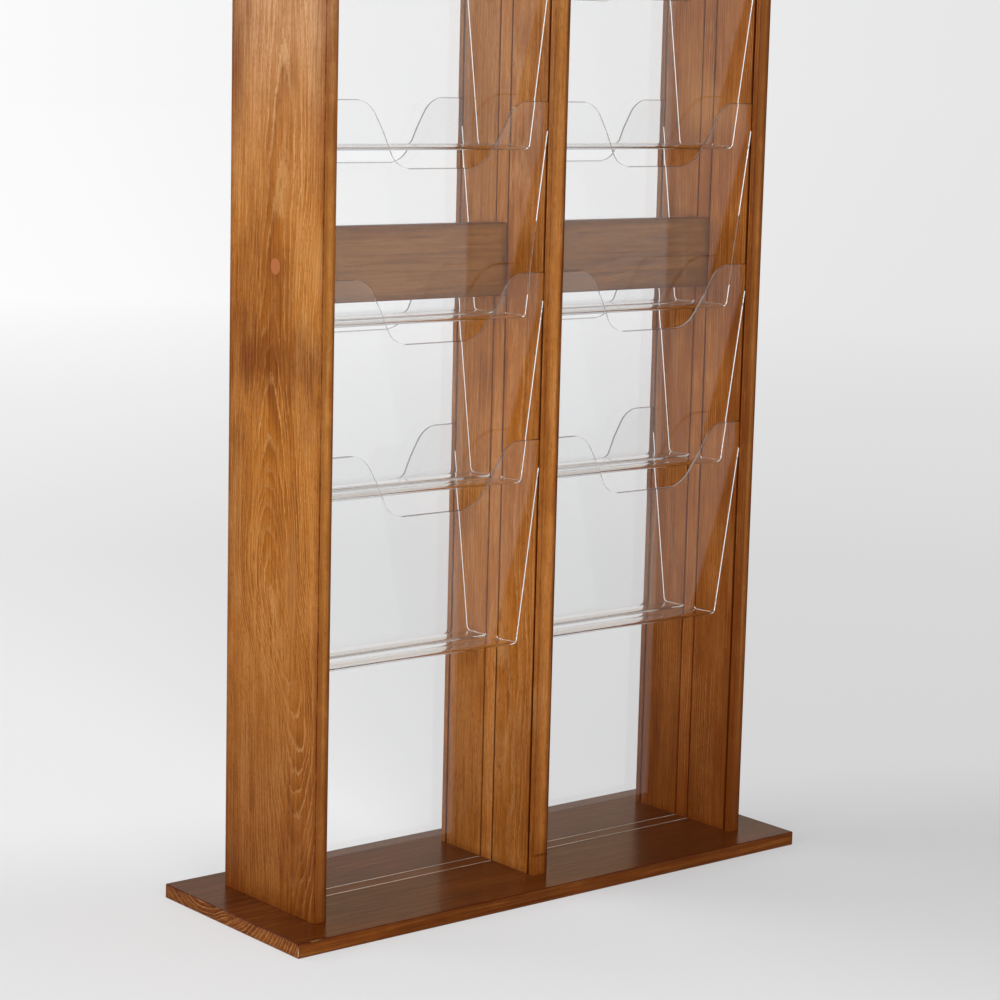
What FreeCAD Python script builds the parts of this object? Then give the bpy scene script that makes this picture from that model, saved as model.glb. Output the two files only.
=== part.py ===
import FreeCAD, Part
import math
import os
import Sketcher
from enum import IntEnum

# Double-sided floor rack for periodicals.
#
# Three grooved wooden uprights stand on a base board, carry a top board and are tied by one rail in
# each bay. Clear pockets, each bent from one sheet, slide down the grooves from the top and stack on
# a plain clear panel, one stack on each face of each bay. A plain panel above closes each stack.
#
# Frame: millimetres, +X to the right along the rack, +Z up, the front face of the rack looks to -Y.
# The origin is the middle of the underside of the base board.

TIERS = 6
FACES = ("front", "rear")
BAYS = ("left", "right")

SIZES = (
    # Boards.
    ("bay_width", 337.5, "clear width between two uprights"),
    ("upright_depth", 200, "depth of the uprights, front to rear"),
    ("side_thickness", 19, "thickness of the two outer uprights"),
    ("centre_thickness", 25, "thickness of the upright between the bays"),
    ("base_thickness", 19, "thickness of the base board"),
    ("base_end_overhang", 59, "base board beyond the outer uprights"),
    ("base_face_overhang", 50, "base board beyond the front and rear edges"),
    ("top_thickness", 19, "thickness of the top board"),
    ("arris_chamfer", 1, "bevel along the long board edges"),
    # Rails.
    ("rail_thickness", 22, "thickness of a rail"),
    ("rail_width", 95, "width of a rail, measured upwards"),
    ("rail_level", 814, "middle of a rail above the base board"),
    ("rail_corner_radius", 3, "rounding of the corners of a rail"),
    ("rail_clearance", 0.2, "gap between a rail and the clear panels beside it"),
    # Grooves.
    ("groove_depth", 6, "depth of a groove in an upright"),
    ("groove_clearance", 0.3, "gap between a sheet and each wall of its groove"),
    ("ear_clearance", 0.5, "gap between the edge of a sheet and the floor of its groove"),
    ("outer_groove_inset", 10.6, "middle of an outer groove from the upright's edge"),
    ("kerf_depth", 6, "depth of the slots in the base board"),
    # Clear pockets.
    ("sheet_thickness", 3, "thickness of all clear sheet"),
    ("first_pocket_level", 306, "underside of the lowest pocket above the base board"),
    ("pocket_pitch", 217, "height from one pocket to the next"),
    ("lip_level", 280, "top of the lip above the underside of its pocket"),
    ("lip_bend_level", 242.5, "where the slanted front turns upright"),
    ("floor_length", 32, "flat floor from the back panel to the front bend"),
    ("back_bend_radius", 2, "inner radius of the bend below the back panel"),
    ("front_bend_radius", 6.5, "inner radius of the bend below the slanted front"),
    ("lip_bend_radius", 20, "inner radius of the bend below the lip"),
    ("notch_height", 5, "relief above the back bend, where the ears start"),
    ("wall_clearance", 0.75, "gap between a pocket and each upright"),
    ("seat_clearance", 0.2, "gap between a stacked sheet and what it stands on"),
    ("scoop_depth", 83.5, "depth of the finger scoop below the top of the lip"),
    ("scoop_floor", 92, "straight bottom edge of the scoop"),
    ("scoop_radius", 37, "radius of the four rounded corners of the scoop"),
    ("scoop_angle", 60, "slope of the sides of the scoop, in degrees"),
    ("headroom", 29, "space between the highest lip and the top board"),
    # Plugs and dowels.
    ("plug_diameter", 20, "plugs over the screws from the outer uprights into the rails"),
    ("plug_length", 6, "thickness of a plug"),
    ("plug_clearance", 0.05, "gap round a plug"),
    ("dowel_diameter", 10, "dowels through the centre upright"),
    ("dowel_spacing", 48, "distance between the two dowels"),
    ("dowel_reach", 22, "how far a dowel goes into each rail"),
    ("dowel_clearance", 0.1, "gap round a dowel"),
    ("dowel_end_gap", 1, "space left beyond the end of a dowel"),
)

doc = FreeCAD.newDocument("periodical_rack")
sheet = doc.addObject("Spreadsheet::Sheet", "sizes")
for row, (alias, number, meaning) in enumerate(SIZES, start=1):
    sheet.set(f"A{row}", meaning)
    sheet.set(f"B{row}", str(number))
    sheet.setAlias(f"B{row}", alias)
doc.recompute()

# Lengths worked out from the sheet, as expressions that the features share.
RACK_WIDTH = "(2 * sizes.bay_width + 2 * sizes.side_thickness + sizes.centre_thickness)"
BASE_LENGTH = f"({RACK_WIDTH} + 2 * sizes.base_end_overhang)"
BASE_DEPTH = "(sizes.upright_depth + 2 * sizes.base_face_overhang)"
STACK_LEVEL = f"(sizes.first_pocket_level + {TIERS} * sizes.pocket_pitch)"
UPRIGHT_LENGTH = f"({STACK_LEVEL} - sizes.pocket_pitch + sizes.lip_level + sizes.headroom)"
BAY_CENTRE = "(sizes.bay_width / 2 + sizes.centre_thickness / 2)"
TOP_LEVEL = f"(sizes.base_thickness + {UPRIGHT_LENGTH})"

INNER_GROOVE = "(sizes.rail_thickness / 2 + sizes.rail_clearance + sizes.sheet_thickness / 2)"
OUTER_GROOVE = "(sizes.upright_depth / 2 - sizes.outer_groove_inset)"
GROOVE_HALF = "(sizes.sheet_thickness / 2 + sizes.groove_clearance)"
EAR_HALF = "(sizes.bay_width / 2 + sizes.groove_depth - sizes.ear_clearance)"

BACK_FACE = f"({INNER_GROOVE} - sizes.sheet_thickness / 2)"
LIP_FACE = f"({OUTER_GROOVE} + sizes.sheet_thickness / 2)"
BACK_OUTER_RADIUS = "(sizes.back_bend_radius + sizes.sheet_thickness)"
FRONT_OUTER_RADIUS = "(sizes.front_bend_radius + sizes.sheet_thickness)"
LIP_OUTER_RADIUS = "(sizes.lip_bend_radius + sizes.sheet_thickness)"
FRONT_BEND_CENTRE = f"({BACK_FACE} + sizes.sheet_thickness + sizes.floor_length)"
# A sheet ends under the rounded back bend of the pocket that stands on it, a little above the
# underside of that pocket, where the bend meets the sheet's inner corner.
BEND_RISE = (f"({BACK_OUTER_RADIUS}"
             f" - sqrt({BACK_OUTER_RADIUS} ^ 2 - sizes.back_bend_radius ^ 2))")
SEAT_RISE = f"({BEND_RISE} - sizes.seat_clearance)"

# The outline that cuts the scoop also runs along the top of the lip, past its ends.
SCOOP_END = f"({EAR_HALF} + sizes.sheet_thickness)"
SCOOP_TOP = "(sizes.lip_level + sizes.sheet_thickness)"
# A cut this deep, to each side of the lip, goes through the slanted front as well.
SCOOP_CUT = f"(2 * ({OUTER_GROOVE} - {FRONT_BEND_CENTRE}))"

PLUG_HOLE = "(sizes.plug_diameter / 2 + sizes.plug_clearance)"
DOWEL_HOLE = "(sizes.dowel_diameter / 2 + sizes.dowel_clearance)"

HALF_TURN = FreeCAD.Rotation(FreeCAD.Vector(0, 0, 1), 180)
# Turns a piece drawn upright so that its +Z points along the rack.
LYING = FreeCAD.Rotation(FreeCAD.Vector(0, 1, 0), 90)


class Point(IntEnum):
    """The points of a line or an arc, as a sketch's constraints number them."""

    START = 1
    END = 2
    CENTRE = 3


class Axis(IntEnum):
    """The axis of a sketch that starts at its origin, as the constraints number it."""

    ACROSS = -1


def value(expression):
    """Return the number that an expression has now."""
    return float(sheet.evalExpression(expression))


def new_body(label):
    """Start the body of one sub-part."""
    body = doc.addObject("PartDesign::Body", label)
    body.Label = label
    return body


def place(body, along="0", across="0", up="0", rotation=None):
    """Put a body at a place that follows the sheet."""
    if rotation is not None:
        body.Placement = FreeCAD.Placement(FreeCAD.Vector(), rotation)
    for axis, expression in (("x", along), ("y", across), ("z", up)):
        body.setExpression(f".Placement.Base.{axis}", expression)


def origin_feature(body, role):
    """Return an origin plane or axis of a body."""
    return next(item for item in body.Origin.OriginFeatures if item.Role == role)


def new_sketch(body, name, plane="XY_Plane", level="0"):
    """Open a sketch on an origin plane, moved along the plane's normal by level."""
    sketch = body.newObject("Sketcher::SketchObject", name)
    sketch.AttachmentSupport = [(origin_feature(body, plane), "")]
    sketch.MapMode = "FlatFace"
    sketch.setExpression(".AttachmentOffset.Base.z", level)
    return sketch


def dimension(sketch, kind, references, expression):
    """Add a dimension that follows the sheet."""
    index = sketch.addConstraint(Sketcher.Constraint(kind, *references, value(expression)))
    sketch.setExpression(f"Constraints[{index}]", expression)


def lean(sketch, line, expression):
    """Fix the slope of a line, in degrees from the horizontal."""
    angle = math.radians(value(expression))
    index = sketch.addConstraint(Sketcher.Constraint("Angle", line, angle))
    sketch.setExpression(f"Constraints[{index}]", f"{expression} * 1 deg")


def locate(sketch, geometry, point, across=None, up=None):
    """Fix a point by its distances from the sketch's origin."""
    if across is not None:
        dimension(sketch, "DistanceX", (Axis.ACROSS, Point.START, geometry, point), across)
    if up is not None:
        dimension(sketch, "DistanceY", (Axis.ACROSS, Point.START, geometry, point), up)


def add_outline(sketch, corners, radii):
    """Draw a closed outline, each corner sharp or rounded by a tangent arc.

    Returns the indices of the lines, where line n runs from corner n to the next, and of the arcs,
    as a mapping from corner to arc.
    """
    count = len(corners)
    points = [FreeCAD.Vector(across, up, 0) for across, up in corners]
    directions = [(points[(n + 1) % count] - points[n]).normalize() for n in range(count)]
    starts = list(points)
    ends = [points[(n + 1) % count] for n in range(count)]
    curves = {}
    for n in range(count):
        if radii[n] == 0:
            continue
        before, after = directions[n - 1], directions[n]
        turn = before.getAngle(after)
        setback = radii[n] * math.tan(turn / 2)
        ends[n - 1] = points[n] - before * setback
        starts[n] = points[n] + after * setback
        middle = points[n] + (after - before).normalize() * radii[n] * (1 / math.cos(turn / 2) - 1)
        curves[n] = Part.Arc(ends[n - 1], middle, starts[n])
    lines = [sketch.addGeometry(Part.LineSegment(starts[n], ends[n]), False) for n in range(count)]
    arcs = {n: sketch.addGeometry(curve, False) for n, curve in curves.items()}
    for n in range(count):
        if n not in arcs:
            joint = Sketcher.Constraint("Coincident", lines[n - 1], Point.END, lines[n], Point.START)
            sketch.addConstraint(joint)
            continue
        arc_start = sketch.getPoint(arcs[n], Point.START)
        forward = arc_start.distanceToPoint(ends[n - 1]) < arc_start.distanceToPoint(starts[n])
        first, last = (Point.START, Point.END) if forward else (Point.END, Point.START)
        sketch.addConstraint(Sketcher.Constraint("Tangent", lines[n - 1], Point.END, arcs[n], first))
        sketch.addConstraint(Sketcher.Constraint("Tangent", arcs[n], last, lines[n], Point.START))
    return lines, arcs


def add_rectangle(sketch, left, right, low, high):
    """Draw a rectangle between four expressions."""
    west, east, south, north = (value(side) for side in (left, right, low, high))
    corners = ((west, south), (east, south), (east, north), (west, north))
    lines, _ = add_outline(sketch, corners, (0, 0, 0, 0))
    for line in (lines[0], lines[2]):
        sketch.addConstraint(Sketcher.Constraint("Horizontal", line))
    for line in (lines[1], lines[3]):
        sketch.addConstraint(Sketcher.Constraint("Vertical", line))
    locate(sketch, lines[0], Point.START, across=left, up=low)
    locate(sketch, lines[2], Point.START, across=right, up=high)


def add_circle(sketch, radius, across="0", up="0"):
    """Draw a circle at a place given by expressions."""
    centre = FreeCAD.Vector(value(across), value(up), 0)
    circle = Part.Circle(centre, FreeCAD.Vector(0, 0, 1), value(radius))
    index = sketch.addGeometry(circle, False)
    dimension(sketch, "Radius", (index,), radius)
    locate(sketch, index, Point.CENTRE, across=across, up=up)


def pad(body, sketch, length, both_ways=False):
    """Raise a sketch into a solid."""
    feature = body.newObject("PartDesign::Pad", f"{sketch.Name}_pad")
    feature.Profile = sketch
    feature.Midplane = both_ways
    feature.setExpression("Length", length)
    return feature


def cut(body, sketch, length, towards_normal=True, both_ways=False):
    """Cut a sketch into the solid to a depth, along the sketch's normal or against it."""
    feature = body.newObject("PartDesign::Pocket", f"{sketch.Name}_cut")
    feature.Profile = sketch
    feature.Midplane = both_ways
    feature.Reversed = towards_normal
    feature.setExpression("Length", length)
    return feature


def pick_edges(feature, wanted):
    """Return the names of a feature's edges that the test wanted picks out."""
    doc.recompute()
    return [f"Edge{n}" for n, edge in enumerate(feature.Shape.Edges, start=1) if wanted(edge)]


def bevel_arrises(body, feature, wanted=lambda edge: True):
    """Take the sharp corner off board edges."""
    chamfer = body.newObject("PartDesign::Chamfer", f"{feature.Name}_arris")
    chamfer.Base = (feature, pick_edges(feature, wanted))
    chamfer.setExpression("Size", "sizes.arris_chamfer")
    return chamfer


def is_upright_edge(edge):
    """Tell whether a straight edge runs along Z."""
    return abs(edge.tangentAt(edge.FirstParameter).z) > 0.99


def is_cross_edge(edge):
    """Tell whether a straight edge runs from the front to the rear."""
    return abs(edge.tangentAt(edge.FirstParameter).y) > 0.99


def make_upright(label, thickness, low, grooved_faces):
    """Build an upright from its section, with grooves along the faces that look into a bay.

    The section lies between low and low + thickness along X. Each grooved face is given by the
    expression of its place and of the place of its groove's floor.
    """
    body = new_body(label)
    section = new_sketch(body, f"{label}_section")
    half_depth = "(sizes.upright_depth / 2)"
    add_rectangle(section, low, f"{low} + {thickness}", f"-{half_depth}", half_depth)
    board = pad(body, section, UPRIGHT_LENGTH)
    bevel_arrises(body, board, is_upright_edge)
    grooves = new_sketch(body, f"{label}_grooves")
    for left, right in grooved_faces:
        for middle in (OUTER_GROOVE, INNER_GROOVE, f"-{INNER_GROOVE}", f"-{OUTER_GROOVE}"):
            add_rectangle(grooves, left, right,
                          f"{middle} - {GROOVE_HALF}", f"{middle} + {GROOVE_HALF}")
    cut(body, grooves, UPRIGHT_LENGTH)
    return body


def make_side_upright(label, side):
    """Build an outer upright: grooved inside, plain outside but for the bore of the rail's plug."""
    inner_face = "sizes.side_thickness"
    groove_floor = "(sizes.side_thickness - sizes.groove_depth)"
    body = make_upright(label, "sizes.side_thickness", "0", ((groove_floor, inner_face),))
    bore = new_sketch(body, f"{label}_plug_bore", "YZ_Plane")
    add_circle(bore, PLUG_HOLE, "0", "sizes.rail_level")
    cut(body, bore, "sizes.plug_length + sizes.seat_clearance")
    if side == "left":
        place(body, along=f"-{RACK_WIDTH} / 2", up="sizes.base_thickness")
    else:
        place(body, along=f"{RACK_WIDTH} / 2", up="sizes.base_thickness", rotation=HALF_TURN)
    return body


def make_centre_upright(label):
    """Build the centre upright: grooved on both faces, with two dowel holes through it."""
    half = "(sizes.centre_thickness / 2)"
    floor = f"({half} - sizes.groove_depth)"
    body = make_upright(label, "sizes.centre_thickness", f"-{half}",
                        ((f"-{half}", f"-{floor}"), (floor, half)))
    holes = new_sketch(body, f"{label}_dowel_holes", "YZ_Plane")
    for sign in ("-", "+"):
        add_circle(holes, DOWEL_HOLE, "0", f"sizes.rail_level {sign} sizes.dowel_spacing / 2")
    cut(body, holes, "2 * sizes.centre_thickness", both_ways=True)
    place(body, up="sizes.base_thickness")
    return body


def make_base_board(label):
    """Build the base board, with a slot for each clear panel."""
    body = new_body(label)
    outline = new_sketch(body, f"{label}_outline")
    add_rectangle(outline, f"-{BASE_LENGTH} / 2", f"{BASE_LENGTH} / 2",
                  f"-{BASE_DEPTH} / 2", f"{BASE_DEPTH} / 2")
    bevel_arrises(body, pad(body, outline, "sizes.base_thickness"))
    slots = new_sketch(body, f"{label}_slots", level="sizes.base_thickness")
    for bay in (f"-{BAY_CENTRE}", BAY_CENTRE):
        reach = "(sizes.bay_width / 2 + sizes.groove_depth)"
        for middle in (f"-{INNER_GROOVE}", INNER_GROOVE):
            add_rectangle(slots, f"{bay} - {reach}", f"{bay} + {reach}",
                          f"{middle} - {GROOVE_HALF}", f"{middle} + {GROOVE_HALF}")
    cut(body, slots, "sizes.kerf_depth", towards_normal=False)
    return body


def make_top_board(label):
    """Build the top board, flush with the uprights."""
    body = new_body(label)
    outline = new_sketch(body, f"{label}_outline")
    add_rectangle(outline, f"-{RACK_WIDTH} / 2", f"{RACK_WIDTH} / 2",
                  "-sizes.upright_depth / 2", "sizes.upright_depth / 2")
    bevel_arrises(body, pad(body, outline, "sizes.top_thickness"))
    place(body, up=TOP_LEVEL)
    return body


def make_rail(label, side):
    """Build a rail with rounded corners, bored at its inner end for the dowels."""
    body = new_body(label)
    half_length, half_width = "(sizes.bay_width / 2)", "(sizes.rail_width / 2)"
    outline = new_sketch(body, f"{label}_outline", "XZ_Plane")
    add_rectangle(outline, f"-{half_length}", half_length, f"-{half_width}", half_width)
    board = pad(body, outline, "sizes.rail_thickness", both_ways=True)
    corners = body.newObject("PartDesign::Fillet", f"{label}_corners")
    corners.Base = (board, pick_edges(board, is_cross_edge))
    corners.setExpression("Radius", "sizes.rail_corner_radius")
    bores = new_sketch(body, f"{label}_dowel_bores", "YZ_Plane", half_length)
    for sign in ("-", "+"):
        add_circle(bores, DOWEL_HOLE, "0", f"{sign}sizes.dowel_spacing / 2")
    cut(body, bores, "sizes.dowel_reach + sizes.dowel_end_gap", towards_normal=False)
    level = "sizes.base_thickness + sizes.rail_level"
    if side == "left":
        place(body, along=f"-{BAY_CENTRE}", up=level)
    else:
        place(body, along=BAY_CENTRE, up=level, rotation=HALF_TURN)
    return body


def pocket_corners(depth):
    """Return the corners of the pocket's profile at a depth below its outer face.

    The slanted front is tangent to its two bends, so its slope follows from their centres.
    """
    front = FreeCAD.Vector(value(FRONT_BEND_CENTRE), value(FRONT_OUTER_RADIUS), 0)
    lip = FreeCAD.Vector(value(f"{LIP_FACE} - {LIP_OUTER_RADIUS}"), value("sizes.lip_bend_level"), 0)
    across, up = lip.x - front.x, lip.y - front.y
    shift = value(f"{LIP_OUTER_RADIUS} - {FRONT_OUTER_RADIUS}")
    slope = math.atan2(across, up) + math.asin(shift / math.hypot(across, up))
    normal = FreeCAD.Vector(math.cos(slope), -math.sin(slope), 0)
    on_front = front + normal * (value(FRONT_OUTER_RADIUS) - depth)
    back, lip_face = value(BACK_FACE) + depth, value(LIP_FACE) - depth
    return ((back, value(f"sizes.pocket_pitch + {SEAT_RISE}")),
            (back, depth),
            (on_front.x - (on_front.y - depth) * math.tan(slope), depth),
            (lip_face, on_front.y + (lip_face - on_front.x) / math.tan(slope)),
            (lip_face, value("sizes.lip_level")))


def draw_pocket_profile(sketch):
    """Draw the bent sheet on edge: back panel, floor, slanted front and lip, of one thickness."""
    outer = pocket_corners(0)
    inner = pocket_corners(value("sizes.sheet_thickness"))
    outer_radii = [value(radius) for radius in (BACK_OUTER_RADIUS, FRONT_OUTER_RADIUS,
                                                LIP_OUTER_RADIUS)]
    inner_radii = [radius - value("sizes.sheet_thickness") for radius in outer_radii]
    lines, arcs = add_outline(sketch, outer + inner[::-1],
                              (0, *outer_radii, 0, 0, *inner_radii[::-1], 0))
    back, underside, _, lip, lip_edge, lip_inside, _, _, back_inside, back_edge = lines
    for line in (back, lip, lip_inside, back_inside):
        sketch.addConstraint(Sketcher.Constraint("Vertical", line))
    for line in (underside, lip_edge, back_edge):
        sketch.addConstraint(Sketcher.Constraint("Horizontal", line))
    bends = ((arcs[1], arcs[8], "sizes.back_bend_radius"),
             (arcs[2], arcs[7], "sizes.front_bend_radius"),
             (arcs[3], arcs[6], "sizes.lip_bend_radius"))
    for outside, inside, radius in bends:
        sketch.addConstraint(Sketcher.Constraint("Coincident", outside, Point.CENTRE, inside, Point.CENTRE))
        dimension(sketch, "Radius", (inside,), radius)
        dimension(sketch, "Radius", (outside,), f"{radius} + sizes.sheet_thickness")
    locate(sketch, back, Point.START, across=BACK_FACE, up=f"sizes.pocket_pitch + {SEAT_RISE}")
    locate(sketch, underside, Point.START, up="0")
    locate(sketch, lip, Point.END, across=LIP_FACE, up="sizes.lip_level")
    locate(sketch, arcs[2], Point.CENTRE, across=FRONT_BEND_CENTRE)
    locate(sketch, arcs[3], Point.CENTRE, up="sizes.lip_bend_level")


def draw_scoop(sketch):
    """Draw the finger scoop: a straight bottom between two S-shaped sides that end on the lip."""
    radius, angle = value("sizes.scoop_radius"), math.radians(value("sizes.scoop_angle"))
    top, bottom = value("sizes.lip_level"), value("sizes.lip_level - sizes.scoop_depth")
    foot = value("sizes.scoop_floor / 2") + radius * math.tan(angle / 2)
    shoulder = foot + (top - bottom) / math.tan(angle)
    end, above = value(SCOOP_END), value(SCOOP_TOP)
    right = ((foot, bottom), (shoulder, top), (end, top), (end, above))
    left = tuple((-across, up) for across, up in right[::-1])
    lines, arcs = add_outline(sketch, right + left, (radius, radius, 0, 0, 0, 0, radius, radius))
    right_slope, right_shelf, right_side, cover, left_side, left_shelf, left_slope, floor = lines
    for line in (right_shelf, cover, left_shelf, floor):
        sketch.addConstraint(Sketcher.Constraint("Horizontal", line))
    for line in (right_side, left_side):
        sketch.addConstraint(Sketcher.Constraint("Vertical", line))
    bend, *other_bends = arcs.values()
    for other in other_bends:
        sketch.addConstraint(Sketcher.Constraint("Equal", bend, other))
    dimension(sketch, "Radius", (bend,), "sizes.scoop_radius")
    lean(sketch, right_slope, "sizes.scoop_angle")
    lean(sketch, left_slope, "-sizes.scoop_angle")
    locate(sketch, floor, Point.START, across="-sizes.scoop_floor / 2")
    locate(sketch, floor, Point.END, across="sizes.scoop_floor / 2",
           up="sizes.lip_level - sizes.scoop_depth")
    locate(sketch, right_shelf, Point.END, across=SCOOP_END, up="sizes.lip_level")
    locate(sketch, left_shelf, Point.START, across=f"-{SCOOP_END}", up="sizes.lip_level")
    locate(sketch, cover, Point.START, up=SCOOP_TOP)


def make_pocket(label):
    """Build one pocket from a bent sheet.

    The profile is as wide as fits between the uprights. The back panel and the lip are wider: their
    ears run in the grooves. The scoop goes through the slanted front and the lip.
    """
    body = new_body(label)
    profile = new_sketch(body, f"{label}_profile", "YZ_Plane")
    draw_pocket_profile(profile)
    pad(body, profile, "sizes.bay_width - 2 * sizes.wall_clearance", both_ways=True)
    ears = (("back", INNER_GROOVE, "sizes.notch_height", f"sizes.pocket_pitch + {SEAT_RISE}"),
            ("lip", OUTER_GROOVE, "sizes.lip_bend_level", "sizes.lip_level"))
    for name, middle, low, high in ears:
        plate = new_sketch(body, f"{label}_{name}", "XZ_Plane", f"-{middle}")
        add_rectangle(plate, f"-{EAR_HALF}", EAR_HALF, low, high)
        pad(body, plate, "sizes.sheet_thickness", both_ways=True)
    scoop = new_sketch(body, f"{label}_scoop", "XZ_Plane", f"-{OUTER_GROOVE}")
    draw_scoop(scoop)
    cut(body, scoop, SCOOP_CUT, both_ways=True)
    return body


def make_panel(label, low, high):
    """Build a flat clear panel that fills one bay between two levels, its edges in the grooves."""
    body = new_body(label)
    outline = new_sketch(body, f"{label}_outline", "XZ_Plane", f"-{INNER_GROOVE}")
    add_rectangle(outline, f"-{EAR_HALF}", EAR_HALF, low, high)
    pad(body, outline, "sizes.sheet_thickness", both_ways=True)
    return body


def place_clear_piece(body, face, bay, level):
    """Put a pocket or panel, drawn for the rear face, into its bay and face."""
    along = f"-{BAY_CENTRE}" if bay == "left" else BAY_CENTRE
    turn = HALF_TURN if face == "front" else None
    place(body, along=along, up=f"sizes.base_thickness + {level}", rotation=turn)


def make_rail_plugs(label):
    """Build the plugs that cover the rail screws, flush with the outer uprights."""
    body = new_body(label)
    outline = new_sketch(body, f"{label}_outline", level=f"-{RACK_WIDTH} / 2")
    add_circle(outline, "sizes.plug_diameter / 2")
    left_plug = pad(body, outline, "sizes.plug_length")
    both = body.newObject("PartDesign::Mirrored", f"{label}_mirrored")
    both.Originals = [left_plug]
    both.MirrorPlane = (origin_feature(body, "XY_Plane"), [""])
    body.Tip = both
    place(body, up="sizes.base_thickness + sizes.rail_level", rotation=LYING)
    return body


def make_rail_dowels(label):
    """Build the two dowels that go through the centre upright into both rails."""
    body = new_body(label)
    outline = new_sketch(body, f"{label}_outline")
    for sign in ("-", "+"):
        add_circle(outline, "sizes.dowel_diameter / 2", f"{sign}sizes.dowel_spacing / 2")
    pad(body, outline, "sizes.centre_thickness + 2 * sizes.dowel_reach", both_ways=True)
    place(body, up="sizes.base_thickness + sizes.rail_level", rotation=LYING)
    return body


def build_parts():
    """Build every sub-part of the rack and return their bodies."""
    bodies = [make_base_board("base_board"),
              make_side_upright("left_upright", "left"),
              make_centre_upright("centre_upright"),
              make_side_upright("right_upright", "right"),
              make_top_board("top_board"),
              make_rail("left_rail", "left"),
              make_rail("right_rail", "right")]
    for face in FACES:
        for bay in BAYS:
            lower = make_panel(f"{face}_{bay}_lower_panel", "sizes.seat_clearance - sizes.kerf_depth",
                               f"sizes.first_pocket_level + {SEAT_RISE}")
            place_clear_piece(lower, face, bay, "0")
            upper = make_panel(f"{face}_{bay}_upper_panel",
                               f"{STACK_LEVEL} + {SEAT_RISE} + sizes.seat_clearance",
                               f"{UPRIGHT_LENGTH} - sizes.seat_clearance")
            place_clear_piece(upper, face, bay, "0")
            bodies += [lower, upper]
            for tier in range(TIERS):
                pocket = make_pocket(f"{face}_{bay}_pocket_{tier + 1}")
                level = f"(sizes.first_pocket_level + {tier} * sizes.pocket_pitch)"
                place_clear_piece(pocket, face, bay, level)
                bodies.append(pocket)
    bodies += [make_rail_plugs("rail_plugs"), make_rail_dowels("rail_dowels")]
    return bodies


def check(bodies):
    """Stop if a feature failed or a sub-part is empty or broken."""
    failed = [item.Name for item in doc.Objects
              if "Invalid" in item.State or "Error" in item.State]
    broken = [body.Label for body in bodies if body.Shape.isNull() or not body.Shape.isValid()]
    if failed or broken:
        raise RuntimeError(f"failed features: {failed}; broken sub-parts: {broken}")


parts = build_parts()
doc.recompute()
check(parts)
os.makedirs("parts", exist_ok=True)
for part in parts:
    part.Shape.exportStep(os.path.join("parts", f"{part.Label}.step"))
    box = part.Shape.optimalBoundingBox()
    print(f"{part.Label}: {len(part.Shape.Solids)} solid(s), {part.Shape.Volume / 1000:.1f} cm3, "
          f"x {box.XMin:.1f} to {box.XMax:.1f}, y {box.YMin:.1f} to {box.YMax:.1f}, "
          f"z {box.ZMin:.1f} to {box.ZMax:.1f}")
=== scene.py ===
"""Looks of a double-sided floor rack for periodicals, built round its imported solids.

Everything is in metres, +Z up, with the rack's front to -Y, except for the tables of spots, which
are in millimetres. The boards are stained hardwood under a satin lacquer, and the pockets are
clear sheet.
"""

import logging
import math
from dataclasses import dataclass, replace
from enum import Enum

import bpy
from mathutils import Matrix, Vector


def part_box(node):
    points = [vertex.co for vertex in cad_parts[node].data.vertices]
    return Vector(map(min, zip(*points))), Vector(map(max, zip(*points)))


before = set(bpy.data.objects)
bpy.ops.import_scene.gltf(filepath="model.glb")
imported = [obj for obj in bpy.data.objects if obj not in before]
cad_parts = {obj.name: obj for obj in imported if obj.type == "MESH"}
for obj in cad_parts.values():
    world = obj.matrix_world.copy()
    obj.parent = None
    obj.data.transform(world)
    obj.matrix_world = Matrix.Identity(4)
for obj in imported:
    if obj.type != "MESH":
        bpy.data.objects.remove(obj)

LOG = logging.getLogger("periodical_rack")
SLOT_CLEARANCE = 0.0003
AXES = "XYZ"
MILLIMETRES = 1000

Triple = tuple[float, float, float]
Colour = Triple
Limits = tuple[float, float]
Socket = bpy.types.NodeSocket
Sockets = dict[str, Socket]
Kinds = dict[str, tuple[str, ...]]


class Grain(Enum):
    """The way the grain of a board runs: the axes across it, through it and along it."""

    UPRIGHT = ("Y", "X", "Z")
    LENGTHWISE_EDGE_ON = ("Z", "Y", "X")
    LENGTHWISE_FLAT = ("Y", "Z", "X")


@dataclass(frozen=True)
class Noise:
    """Settings of smooth noise.

    Scale is one number, or three for noise that is stretched. Detail is how many finer layers are
    added, roughness is how strong they are, and distortion is how much the noise is twisted.
    """

    scale: float | Triple = 1.0
    detail: float = 2.0
    roughness: float = 0.5
    distortion: float = 0.0


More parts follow.
